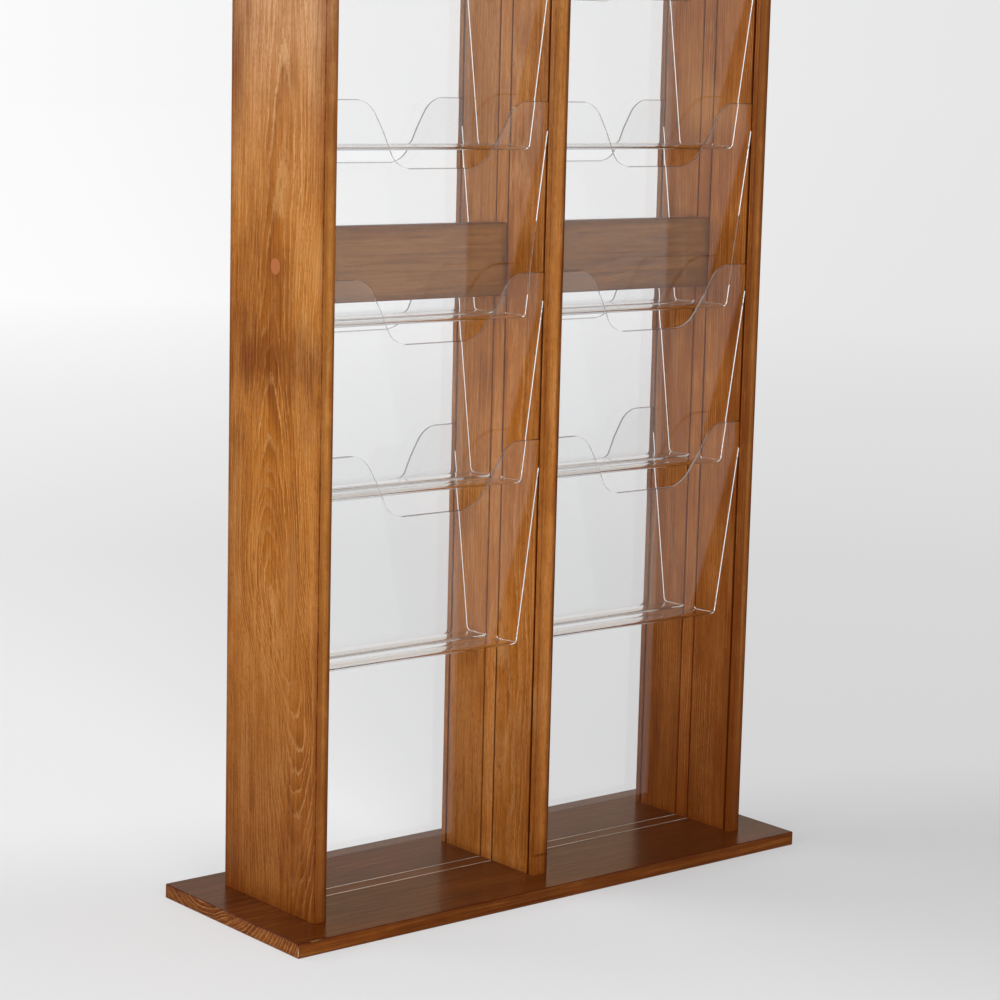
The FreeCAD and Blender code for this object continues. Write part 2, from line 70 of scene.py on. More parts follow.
class Graph:
    """Adds and links the nodes of one tree."""

    MIX_INPUTS = (0, 6, 7)
    MIX_OUTPUT = 2

    def __init__(self, tree: bpy.types.NodeTree) -> None:
        """Start on a tree, which keeps its nodes."""
        self.tree = tree

    def add(self, kind: str, **settings: object) -> bpy.types.Node:
        """Add a node and set its properties.

        Args:
            kind: the node's type.
            settings: properties of the node, by name.

        Returns:
            The new node.
        """
        node = self.tree.nodes.new(kind)
        for name, value in settings.items():
            setattr(node, name, value)
        return node

    def feed(self, socket: Socket, value: object) -> None:
        """Link a socket to another, or set it to a constant.

        Args:
            socket: the input.
            value: a socket, a number, three numbers or a colour.
        """
        if isinstance(value, Socket):
            self.tree.links.new(value, socket)
        elif socket.type == "RGBA":
            socket.default_value = (*value, 1.0)
        else:
            socket.default_value = value

    def fill(self, node: bpy.types.Node, **values: object) -> bpy.types.NodeOutputs:
        """Link or set some inputs of a node.

        Args:
            node: the node.
            values: what goes to each input, by its name with words joined by underscores.

        Returns:
            The node's outputs.
        """
        for name, value in values.items():
            self.feed(node.inputs[name.replace("_", " ")], value)
        return node.outputs

    def feed_all(self, node: bpy.types.Node, *values: object) -> Socket:
        """Link or set the first inputs of a node.

        Args:
            node: the node.
            values: what goes to the inputs, in their order.

        Returns:
            The node's first output.
        """
        for socket, value in zip(node.inputs, values):
            self.feed(socket, value)
        return node.outputs[0]

    def math(self, operation: str, *numbers: object, clamp: bool = False) -> Socket:
        """Return the result of a sum on numbers."""
        return self.feed_all(self.add("ShaderNodeMath", operation=operation, use_clamp=clamp), *numbers)

    def times(self, number: object, factor: object) -> Socket:
        """Return a number times a factor."""
        return self.math("MULTIPLY", number, factor)

    def scaled(self, number: object, factor: object, start: object) -> Socket:
        """Return a start with a number times a factor added to it."""
        return self.math("MULTIPLY_ADD", number, factor, start)

    def minus(self, number: object, other: object) -> Socket:
        """Return a number less another."""
        return self.math("SUBTRACT", number, other)

    def larger(self, number: object, other: object) -> Socket:
        """Return the larger of two numbers."""
        return self.math("MAXIMUM", number, other)

    def unsigned(self, number: object) -> Socket:
        """Return a number without its sign."""
        return self.math("ABSOLUTE", number)

    def vector(self, operation: str, *operands: object) -> Socket:
        """Return the result of a sum on vectors.

        Args:
            operation: the name of the sum.
            operands: its vectors.

        Returns:
            A vector, or a number for a length or a dot product.
        """
        node = self.add("ShaderNodeVectorMath", operation=operation)
        first = self.feed_all(node, *operands)
        return node.outputs["Value"] if operation in ("LENGTH", "DOT_PRODUCT") else first

    def split(self, vector: Socket) -> Sockets:
        """Return the three parts of a vector by their axis."""
        node = self.feed_all(self.add("ShaderNodeSeparateXYZ"), vector).node
        return {axis: node.outputs[axis] for axis in AXES}

    def join(self, *parts: object) -> Socket:
        """Return a vector made of three numbers."""
        return self.feed_all(self.add("ShaderNodeCombineXYZ"), *parts)

    def noise(self, vector: Socket, noise: Noise) -> Socket:
        """Return smooth noise from 0 to 1.

        Args:
            vector: where the noise is read.
            noise: its settings.

        Returns:
            The noise's value.
        """
        scale = noise.scale
        if isinstance(scale, tuple):
            vector, scale = self.vector("MULTIPLY", vector, scale), 1.0
        return self.fill(self.add("ShaderNodeTexNoise"), Vector=vector, Scale=scale, Detail=noise.detail,
                         Roughness=noise.roughness, Distortion=noise.distortion)[0]

    def swing(self, vector: Socket, noise: Noise) -> Socket:
        """Return smooth noise from -0.5 to 0.5."""
        return self.minus(self.noise(vector, noise), 0.5)

    def step(self, value: object, low: object, high: object, start: object = 0.0,
             end: object = 1.0, shape: str = "SMOOTHSTEP") -> Socket:
        """Return a smooth step from start to end as value goes from low to high."""
        node = self.add("ShaderNodeMapRange", interpolation_type=shape)
        return self.feed_all(node, value, low, high, start, end)

    def ramp(self, *numbers: object) -> Socket:
        """Return a straight climb, from the numbers that a step takes."""
        return self.step(*numbers, shape="LINEAR")

    def mix(self, share: object, first: object, second: object, blend: str = "MIX") -> Socket:
        """Return two colours mixed by a share.

        Args:
            share: how much of the second shows.
            first: the first colour.
            second: the second colour.
            blend: how they are mixed.

        Returns:
            The colour.
        """
        node = self.add("ShaderNodeMix", data_type="RGBA", blend_type=blend)
        for index, value in zip(self.MIX_INPUTS, (share, first, second)):
            self.feed(node.inputs[index], value)
        return node.outputs[self.MIX_OUTPUT]

    def tinted(self, colour: Socket, tint: Colour) -> Socket:
        """Return a colour multiplied by a tint."""
        return self.mix(1.0, colour, tint, "MULTIPLY")

    def lay(self, colour: Socket, mask: object, strength: object, laid: object) -> Socket:
        """Return a colour with another laid over it where a mask is, at a strength."""
        return self.mix(self.times(mask, strength), colour, laid)

    def group(self, effect: "type[Effect]", **inputs: object) -> bpy.types.NodeOutputs:
        """Place an effect's group, fill its inputs by name and return its outputs."""
        return self.fill(self.add("ShaderNodeGroup", node_tree=effect().tree()), **inputs)

    def place(self) -> Socket:
        """Return the place on the piece, in metres."""
        return self.add("ShaderNodeTexCoord").outputs["Object"]

    def light_path(self) -> bpy.types.NodeOutputs:
        """Return what is known of the ray."""
        return self.add("ShaderNodeLightPath").outputs

    def show(self, output: str, share: Socket, plain: Socket, other: Socket) -> None:
        """Send two shaders to a named output, mixed by a share."""
        mixed = self.feed_all(self.add("ShaderNodeMixShader"), share, plain, other)
        self.feed(self.tree.nodes[output].inputs["Surface"], mixed)


def new_material(name: str) -> tuple[bpy.types.Material, Graph, bpy.types.Node]:
    """Make a material.

    Args:
        name: the material's name.

    Returns:
        The material, its graph and its Principled shader.
    """
    made = bpy.data.materials.new(name)
    made.use_nodes = True
    return made, Graph(made.node_tree), made.node_tree.nodes["Principled BSDF"]


class Effect:
    """A node group with named inputs and outputs, built once and shared by the materials."""

    name: str
    inputs: Kinds
    outputs: Kinds

    def tree(self) -> bpy.types.NodeTree:
        """Find the group, or build it at its first use.

        Returns:
            The group's tree.
        """
        found = bpy.data.node_groups.get(self.name)
        if found is not None:
            return found
        tree = bpy.data.node_groups.new(self.name, "ShaderNodeTree")
        for direction, kinds in (("INPUT", self.inputs), ("OUTPUT", self.outputs)):
            for kind, names in kinds.items():
                for name in names:
                    tree.interface.new_socket(name=name, in_out=direction,
                                              socket_type=f"NodeSocket{kind}")
        graph = Graph(tree)
        source = graph.add("NodeGroupInput")
        target = graph.add("NodeGroupOutput")
        graph.fill(target, **self.build(graph, {socket.name: socket for socket in source.outputs}))
        return tree

    def build(self, graph: Graph, inputs: Sockets) -> Sockets:
        """Build the nodes between the inputs and the outputs.

        Args:
            graph: the group's tree.
            inputs: the group's inputs by name.

        Returns:
            What goes to each output, by name.
        """
        raise NotImplementedError


class StainedGrain(Effect):
    """Plain-sawn hardwood under a brown stain: growth rings round a pith, streaks, flecks, blotches.

    The vector is the place in the board, across, through and along the grain, in metres from the
    pith of the tree.
    """

    name = "stained_grain"
    inputs = {"Vector": ("Vector", "Seed"),
              "Color": ("Light", "Middle", "Dark"),
              "Float": ("Ring Width", "Taper", "Core", "Drift Below", "Drift Above", "Warp", "Tone",
                        "Ring Strength", "Streak Strength", "Blotch Strength", "Fleck Strength",
                        "Phase")}
    outputs = {"Color": ("Color",), "Float": ("Height",)}

    LATE_WOOD = (0.68, 0.92)
    RING_END = (1.0, 0.95)
    EARLY_WOOD = (0.45, 0.05, 0.35)
    FADING = Noise((26.0, 26.0, 7.0))
    FADING_STEP = (0.36, 0.60, 0.35)
    STREAK = Noise((190.0, 190.0, 4.5), 5.0, 0.62)
    HAIR = Noise((720.0, 720.0, 14.0), 3.0, 0.62)
    HAIR_GAIN = 1.1
    BLOTCH = Noise((12.0, 12.0, 4.2), 5.0, 0.55, 0.4)
    CLOUD = Noise((48.0, 48.0, 18.0), 3.0, 0.55)
    CLOUD_SHARE = 0.45
    FLECK = Noise((1250.0, 1250.0, 140.0), 1.0)
    FLECK_STEP = (0.57, 0.70)
    PORE = Noise((640.0, 640.0, 52.0))
    PORE_STEP = (0.56, 0.68)
    RING_MIDDLE = 0.45
    RING_SLOPE = 0.30
    BAND_RATE, BAND_ROW, BAND_GAIN = 0.17, 8.6, 0.60
    BODY_TONE = 0.50
    FLECK_DEPTH, HAIR_HEIGHT = -0.6, 0.5

    BELOW, ABOVE = (0.10, -0.14), (0.34, 0.57)
    BEND_ACROSS = Noise((7.0, 7.0, 2.6))
    BEND_THROUGH = Noise((8.0, 8.0, 3.1))
    OTHER_SEED = (7.3, 1.9, 4.1)
    RIPPLE = Noise((42.0, 42.0, 13.0))
    RIPPLE_SHARE = 0.22
    SINK_REACH = 0.30
    ONE_LAYER = Noise(detail=1.0)
    UNEVEN_RATE, UNEVEN_ROW, UNEVEN_GAIN = 0.45, 3.1, 1.8
    JAGGED = Noise((420.0, 420.0, 70.0), roughness=0.6)
    JAGGED_GAIN = 0.5

    def build(self, graph: Graph, inputs: Sockets) -> Sockets:
        """Build the grain's nodes. See the base class."""
        seeded = graph.vector("ADD", inputs["Vector"], inputs["Seed"])
        rings = self.rings(graph, inputs, seeded)
        phase = graph.math("FRACT", rings)
        ringing, streaking = inputs["Ring Strength"], inputs["Streak Strength"]
        pale = graph.times(graph.step(phase, *self.LATE_WOOD), graph.step(phase, *self.RING_END))
        painted_top_mix = graph.step(graph.noise(seeded, self.FADING), *self.FADING_STEP)
        pale = graph.math("MULTIPLY", pale, graph.times(painted_top_mix, ringing), clamp=True)

        hair = graph.noise(seeded, self.HAIR)
        fleck = graph.step(graph.noise(seeded, self.FLECK), *self.FLECK_STEP)
        pore = graph.step(graph.noise(seeded, self.PORE), *self.PORE_STEP)
        fleck = graph.larger(fleck, graph.times(pore, graph.step(phase, *self.EARLY_WOOD)))
        patch = graph.scaled(graph.swing(seeded, self.CLOUD), self.CLOUD_SHARE,
                             graph.swing(seeded, self.BLOTCH))
        row = graph.join(graph.times(rings, self.BAND_RATE), self.BAND_ROW, 0.0)
        tone = inputs["Tone"]
        for change, strength in (
                (graph.swing(seeded, self.STREAK), streaking),
                (graph.minus(hair, 0.5), graph.times(streaking, self.HAIR_GAIN)),
                (patch, inputs["Blotch Strength"]),
                (graph.minus(self.RING_MIDDLE, phase), graph.times(ringing, self.RING_SLOPE)),
                (graph.swing(row, self.ONE_LAYER), graph.times(ringing, self.BAND_GAIN))):
            tone = graph.scaled(change, strength, tone)
        colour = graph.mix(graph.ramp(tone, 0.0, self.BODY_TONE), inputs["Dark"], inputs["Middle"])
        colour = graph.mix(graph.ramp(tone, self.BODY_TONE, 1.0), colour, inputs["Light"])
        colour = graph.mix(pale, colour, inputs["Light"])
        colour = graph.lay(colour, fleck, inputs["Fleck Strength"], inputs["Dark"])
        height = graph.scaled(fleck, self.FLECK_DEPTH, graph.times(hair, self.HAIR_HEIGHT))
        return {"Color": colour, "Height": height}

    def rings(self, graph: Graph, inputs: Sockets, seeded: Socket) -> Socket:
        """Count the growth rings from the pith.

        The pith comes nearest to the board where the vector's Z is 0 and sinks away above and
        below, so the figure has peaks that point up above it and down below it.

        Args:
            graph: the group's tree.
            inputs: the group's inputs by name.
            seeded: the place moved by the seed.

        Returns:
            The number of rings out from the pith, with its fraction.
        """
        parts = graph.split(inputs["Vector"])
        warp = inputs["Warp"]
        drift = graph.times(graph.step(parts["Z"], *self.BELOW), inputs["Drift Below"])
        drift = graph.scaled(graph.step(parts["Z"], *self.ABOVE), inputs["Drift Above"], drift)
        across = graph.scaled(graph.swing(seeded, self.BEND_ACROSS), warp,
                              graph.minus(parts["X"], drift))
        level = graph.math("TANH", graph.math("DIVIDE", parts["Z"], self.SINK_REACH))
        sink = graph.times(graph.times(level, self.SINK_REACH), inputs["Taper"])
        sunk = graph.vector("LENGTH", graph.join(sink, inputs["Core"], 0.0))
        other = graph.vector("ADD", seeded, self.OTHER_SEED)
        through = graph.scaled(graph.swing(other, self.BEND_THROUGH), warp,
                               graph.math("ADD", graph.unsigned(parts["Y"]), sunk))
        radius = graph.vector("LENGTH", graph.join(across, through, 0.0))
        radius = graph.scaled(graph.swing(seeded, self.RIPPLE), graph.times(warp, self.RIPPLE_SHARE),
                              radius)
        rings = graph.math("DIVIDE", radius, inputs["Ring Width"])
        row = graph.join(graph.times(rings, self.UNEVEN_RATE), self.UNEVEN_ROW, 0.0)
        rings = graph.scaled(graph.noise(row, self.ONE_LAYER), self.UNEVEN_GAIN,
                             graph.math("ADD", rings, inputs["Phase"]))
        return graph.scaled(graph.swing(seeded, self.JAGGED), self.JAGGED_GAIN, rings)


class ArrisShade(Effect):
    """How near a place on a board is to the board's edges, broken up by noise."""

    name = "arris_shade"
    inputs = {"Vector": ("Vector", "Low", "High"), "Float": ("Width",)}
    outputs = {"Float": ("Edge",)}

    WORN = Noise(55.0, 4.0, 0.65)
    WEAR = (2.2, -0.1)
    FULL_SHARE = 0.30

    def build(self, graph: Graph, inputs: Sockets) -> Sockets:
        """Build the mask. See the base class."""
        low = graph.vector("SUBTRACT", inputs["Vector"], inputs["Low"])
        high = graph.vector("SUBTRACT", inputs["High"], inputs["Vector"])
        x, y, z = graph.split(graph.vector("MINIMUM", low, high)).values()
        inner = graph.math("MINIMUM", graph.larger(x, y), z)
        middle = graph.larger(graph.math("MINIMUM", x, y), inner)
        worn = graph.noise(inputs["Vector"], self.WORN)
        reach = graph.times(inputs["Width"], graph.scaled(worn, *self.WEAR))
        return {"Edge": graph.step(middle, reach, graph.times(reach, self.FULL_SHARE))}


class SlotShade(Effect):
    """Narrow slots cut along a board, at one distance each side of its middle.

    Inside is their inner walls, darkened as painted shade; Lip is a thin band on the face beside them,
    painted as a glint on the base and as shade on the uprights; the third mask is a soft band of painted
    shade beyond the lip.
    """

    name = "slot_shade"
    inputs = {"Float": ("Across", "Depth", "Along", "Slot", "Half Width", "Half Length", "Lip Width",
                        "Far Lips Only")}
    outputs = {"Float": ("Inside", "Lip", "Grime")}

    WALL = (0.0005, 0.0001)
    BELOW_FACE = (0.0001, 0.0012)
    ON_FACE = (0.0006, 0.0001)
    LIP_SHARE = 0.35
    NEAR_SIDE = (0.0003, 0.0)
    DIRT_STARTS, DIRT_ENDS = (0.0030, 0.0045), (0.0110, 0.0060)

    def build(self, graph: Graph, inputs: Sockets) -> Sockets:
        """Build the masks. See the base class."""
        across, depth, lip_width = inputs["Across"], inputs["Depth"], inputs["Lip Width"]
        away = graph.minus(graph.unsigned(across), inputs["Slot"])
        away = graph.minus(graph.unsigned(away), inputs["Half Width"])
        away = graph.larger(away, graph.minus(graph.unsigned(inputs["Along"]), inputs["Half Length"]))
        # Inside: painted shade on the slots' walls below the face.
        inside = graph.times(graph.step(away, *self.WALL), graph.step(depth, *self.BELOW_FACE))
        surface = graph.step(depth, *self.ON_FACE)
        lip = graph.step(away, lip_width, graph.times(lip_width, self.LIP_SHARE))
        slot = graph.times(graph.math("SIGN", across), inputs["Slot"])
        near_side = graph.step(graph.minus(across, slot), *self.NEAR_SIDE)
        shown = graph.minus(1.0, graph.times(near_side, inputs["Far Lips Only"]))
        # A soft band of painted shade a few millimetres beyond each slot.
        shade_band = graph.times(graph.step(away, *self.DIRT_STARTS), graph.step(away, *self.DIRT_ENDS))
        return {"Inside": inside, "Lip": graph.times(graph.times(lip, surface), shown),
                "Grime": graph.times(shade_band, surface)}


class StainSpot(Effect):
    """A soft-edged spot on the surface, such as a knot or a place where stain gathered."""

    name = "stain_spot"
    inputs = {"Vector": ("Vector", "Grain Vector", "Centre", "Reach"), "Float": ("Ragged",)}
    outputs = {"Float": ("Mask",)}

    SEEDING = (17.0, 31.0, 23.0)
    TORN = Noise((4.2, 4.2, 0.8), 5.0, 0.66)
    STREAKS = Noise((330.0, 330.0, 9.0), 3.0, 0.6)
    STREAK_STEP = (0.38, 0.60, 0.45)
    EDGE = (1.0, 0.15)

    def build(self, graph: Graph, inputs: Sockets) -> Sockets:
        """Build the mask. See the base class."""
        offset = graph.vector("SUBTRACT", inputs["Vector"], inputs["Centre"])
        scaled = graph.vector("DIVIDE", offset, inputs["Reach"])
        seed = graph.vector("MULTIPLY", inputs["Centre"], self.SEEDING)
        torn = graph.swing(graph.vector("ADD", scaled, seed), self.TORN)
        distance = graph.scaled(torn, inputs["Ragged"], graph.vector("LENGTH", scaled))
        uneven = graph.step(graph.noise(inputs["Grain Vector"], self.STREAKS), *self.STREAK_STEP)
        return {"Mask": graph.times(graph.step(distance, *self.EDGE), uneven)}


class HandlingMarks(Effect):
    """Faint smears on a shiny surface."""

    name = "handling_marks"
    inputs = {"Vector": ("Vector",), "Float": ("Scale",)}
    outputs = {"Float": ("Smear",)}

    SMEAR = Noise((6.0, 6.0, 2.0), 5.0, 0.6, 1.2)
    SMEAR_STEP = (0.5, 0.75)

    def build(self, graph: Graph, inputs: Sockets) -> Sockets:
        """Build the mask. See the base class."""
        scaled = graph.vector("SCALE", inputs["Vector"])
        graph.fill(scaled.node, Scale=inputs["Scale"])
        return {"Smear": graph.step(graph.noise(scaled, self.SMEAR), *self.SMEAR_STEP)}


class Mark(Enum):
    """What a spot shows, by the name of the finish's colour."""

    # Stain, and painted shadow in some spots.
    STAIN_AND_SHADE = "dark"
    # Dirt in some spots, painted shade at the uprights' groove lips.
    DIRT = "grime"
    WEAR = "bare"
    # A painted glint, used on the base's kerf lips.
    SHINE = "shine"
    PALE = "light"


@dataclass(frozen=True)
class Spot:
    """One spot on a board: where it is, how far it reaches, how strong it is and what it shows."""

    centre: Triple
    reach: Triple
    strength: float
    ragged: float
    mark: Mark = Mark.STAIN_AND_SHADE


def spots(*rows: tuple) -> tuple[Spot, ...]:
    """Make spots from a table.

    Args:
        rows: the middle's x, y and z and the reach along each, in millimetres, then the strength,
            how ragged the edge is and, where it isn't stain or painted shadow, the mark.

    Returns:
        The spots, in metres.
    """
    return tuple(Spot(tuple(length / MILLIMETRES for length in row[:3]),
                      tuple(length / MILLIMETRES for length in row[3:6]), *row[6:]) for row in rows)


LEFT_UPRIGHT_SPOTS = spots(
    (-369, 68, 735, 8, 62, 75, 0.78, 1.8),
    (-369, 60, 690, 8, 70, 60, 0.4, 2.4),
    (-369, -10, 708, 50, 160, 55, 0.66, 2.4),
    (-369, 30, 810, 50, 120, 130, 0.52, 3.0),
    (-369, -60, 735, 50, 55, 65, 0.5, 2.0),
    (-369, -86, 845, 50, 22, 70, 0.6, 1.2, Mark.PALE),
    (-369, -2, 833, 50, 30, 36, 0.5, 0.9),
    (-369, 40.6, 463, 10, 2, 10, 0.95, 0.4),
    (-369, 26.1, 407, 10, 2, 6, 0.95, 0.4),
    (-369, 92, 45, 8, 45, 60, 0.6, 1.2),
    (-369, 95, 1080, 8, 40, 110, 0.4, 1.4),
    (-360, -100, 1060, 20, 3, 160, 0.45, 0.5),
    (-369, -86, 1130, 50, 20, 260, 0.5, 1.6),
    (-369, 90, 1150, 8, 32, 300, 0.55, 2.0),
    (-369, 82, 550, 8, 48, 220, 0.42, 1.8),
    (-369, 0, 20, 50, 130, 40, 0.55, 2.2),
    (-350, -100, 100, 8.8, 9, 1200, 0.75, 0.8, Mark.DIRT),
    (-350, -100, 600, 7, 9, 3000, 0.35, 0.8, Mark.DIRT),
    (-369, -60, 110, 50, 30, 60, 0.35, 1.4),
    (-369, -68, 645, 50, 32, 55, 0.38, 1.4),
    (-369, 75, 620, 8, 38, 40, 0.32, 1.4),
    (-369, -42, 445, 50, 24, 110, 0.38, 1.2, Mark.PALE),
    (-369, -42, 1045, 50, 24, 70, 0.34, 1.2, Mark.PALE),
    (-369, 62, 1130, 8, 24, 60, 0.32, 1.4),
    (-369, 80, 590, 8, 36, 50, 0.3, 1.4),
)
CENTRE_UPRIGHT_SPOTS = spots(
    (0, -100, 30, 30, 20, 50, 0.55, 0.9),
    (0, -100, 46, 30, 10, 3, 0.8, 0.4, Mark.DIRT),
    (-12.5, -60, 990, 20, 35, 110, 0.5, 1.4),
    # Painted shadow of the rail and pocket on the centre upright's side.
    (-12.5, -65, 830, 20, 45, 160, 0.6, 1.6),
    (-12.5, -80, 200, 20, 35, 90, 0.45, 1.8),
    (-12.5, -78, 580, 20, 40, 280, 0.45, 1.6),
    (-12.5, -80, 1050, 20, 30, 160, 0.5, 1.4),
    (-12.5, -30, 480, 20, 50, 120, 0.3, 1.6),
    (-12.5, -30, 800, 20, 32, 50, 0.45, 1.2),
    (-12.5, 70, 480, 20, 32, 60, 0.42, 1.4),
    (-12.5, -60, 1120, 20, 50, 60, 0.4, 1.4),
    (-12.5, 0, 1040, 20, 34, 50, 0.35, 1.4),
    (12.5, -100, 550, 9.2, 9, 3000, 0.95, 0.8, Mark.DIRT),
    (12.5, -100, 240, 6, 10, 60, 0.6, 1.6),
)
RIGHT_UPRIGHT_SPOTS = spots(
    (360, -100, 60, 30, 30, 90, 0.7, 0.9),
    (350, -50, 300, 20, 40, 120, 0.35, 1.4),
    (350, -86, 430, 20, 42, 620, 0.72, 1.4),
    (350, -60, 520, 20, 30, 200, 0.4, 1.4),
    # The next two spots are painted shadow where the rail's end and a pocket's scoop overlap.
    (350, -15, 790, 20, 70, 60, 0.6, 1.2),
    (350, -80, 760, 20, 34, 80, 0.55, 1.2),
    (350, -85, 150, 20, 34, 150, 0.45, 1.4),
    (350, 70, 720, 20, 32, 55, 0.55, 1.2),
    (350, 70, 480, 20, 32, 55, 0.4, 1.2),
    (350, 10, 1040, 20, 110, 55, 0.32, 1.2, Mark.PALE),
    (350, 10, 120, 20, 40, 250, 0.45, 1.4),
    (369, -100, 550, 8.4, 9, 3000, 0.8, 0.8, Mark.DIRT),
)
BASE_SPOTS = spots(
    (0, -150, 10, 460, 2, 40, 0.36, 0.6),
    # The next four spots are painted shadow on the base's top in the two bays.
    (-110, -115, 19, 120, 45, 8, 0.75, 0.8),
    (-60, 10, 19, 90, 150, 8, 0.7, 1.0),
    (220, -115, 19, 180, 60, 8, 0.75, 0.8),
    (250, 0, 19, 160, 150, 8, 0.5, 1.0),
    (-428, -150, 8, 1.7, 1.7, 11, 0.75, 0.7, Mark.WEAR),
    (-402, -150, 19, 14, 2, 1.2, 0.6, 1.0, Mark.WEAR),
    (-428, 118, 18, 3, 24, 2.6, 0.95, 1.2, Mark.DIRT),
    (-428, 38, 18, 4, 8, 2.6, 0.95, 0.8, Mark.DIRT),
    (-428, -60, 18, 3, 18, 2, 0.7, 1.4, Mark.DIRT),
    (-180, -101, 19, 260, 1.6, 4, 0.55, 0.8, Mark.DIRT),
)


@dataclass(frozen=True)
class Slot:
    """A pair of slots along a board, one to each side of its middle.

    Side is the face they are cut into: 1 the high one, -1 the low one, 0 both.
    """

    inset: float
    half_width: float
    half_length: float
    side: int


@dataclass(frozen=True)
class Figure:
    """How one board was cut from its tree, which sets the figure of its grain.

    The pith is measured from the middle of the board across and through the grain, and along it.
    """

    pith: Triple
    seed: Triple
    taper: float = 0.02
    drift_below: float = 0.0
    drift_above: float = 0.0
    phase: float = 0.0


